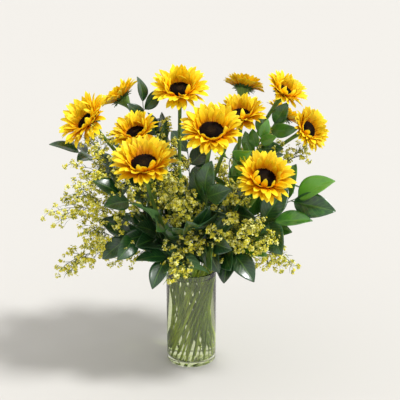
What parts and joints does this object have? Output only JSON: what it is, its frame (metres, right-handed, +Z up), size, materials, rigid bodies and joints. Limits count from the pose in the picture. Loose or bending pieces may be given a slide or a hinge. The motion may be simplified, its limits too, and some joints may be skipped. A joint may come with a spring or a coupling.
{
  "type": "sunflowers in a vase",
  "caption": "Loose bouquet of sunflowers with glossy leafy branches and fine yellow filler blossom, standing in a clear glass cylinder vase.",
  "frame": {"origin": "centre of the vase's flat foot, on the surface it stands on", "axes": "+Z up along the vase's axis, -Y the front of the bouquet, +X to the right seen from the front"},
  "size_m": [0.5351, 0.3675, 0.5925],
  "materials": {
    "vase_glass": "clear, polished",
    "stem_green": "fresh green stem, finely hairy",
    "petal_yellow": "soft, slightly translucent petal",
    "disc_brown": "matt, packed with florets",
    "leaf_green": "glossy, waxy leaf",
    "filler_yellow": "tiny matt blossoms on fine stems"
  },
  "bodies": {
    "root": {"vase": "vase_glass", "sunflower_01_stem": "stem_green", "sunflower_01_petals": "petal_yellow", "sunflower_01_disc": "disc_brown", "sunflower_02_stem": "stem_green", "sunflower_02_petals": "petal_yellow", "sunflower_02_disc": "disc_brown", "sunflower_03_stem": "stem_green", "sunflower_03_petals": "petal_yellow", "sunflower_03_disc": "disc_brown", "sunflower_04_stem": "stem_green", "sunflower_04_petals": "petal_yellow", "sunflower_04_disc": "disc_brown", "sunflower_05_stem": "stem_green", "sunflower_05_petals": "petal_yellow", "sunflower_05_disc": "disc_brown", "sunflower_06_stem": "stem_green", "sunflower_06_petals": "petal_yellow", "sunflower_06_disc": "disc_brown", "sunflower_07_stem": "stem_green", "sunflower_07_petals": "petal_yellow", "sunflower_07_disc": "disc_brown", "sunflower_08_stem": "stem_green", "sunflower_08_petals": "petal_yellow", "sunflower_08_disc": "disc_brown", "sunflower_09_stem": "stem_green", "sunflower_09_petals": "petal_yellow", "sunflower_09_disc": "disc_brown", "sunflower_10_stem": "stem_green", "sunflower_10_petals": "petal_yellow", "sunflower_10_disc": "disc_brown", "sunflower_11_stem": "stem_green", "sunflower_11_petals": "petal_yellow", "sunflower_11_disc": "disc_brown", "sunflower_12_stem": "stem_green", "sunflower_12_petals": "petal_yellow", "sunflower_12_disc": "disc_brown", "branch_01": "leaf_green", "branch_02": "leaf_green", "branch_03": "leaf_green", "branch_04": "leaf_green", "branch_05": "leaf_green", "branch_06": "leaf_green", "branch_07": "leaf_green", "branch_08": "leaf_green", "branch_09": "leaf_green", "branch_10": "leaf_green", "branch_11": "leaf_green", "branch_12": "leaf_green", "sprig_01": "filler_yellow", "sprig_02": "filler_yellow", "sprig_03": "filler_yellow", "sprig_04": "filler_yellow", "sprig_05": "filler_yellow", "sprig_06": "filler_yellow", "sprig_07": "filler_yellow", "sprig_08": "filler_yellow", "sprig_09": "filler_yellow", "sprig_10": "filler_yellow"}
  },
  "joints": []
}
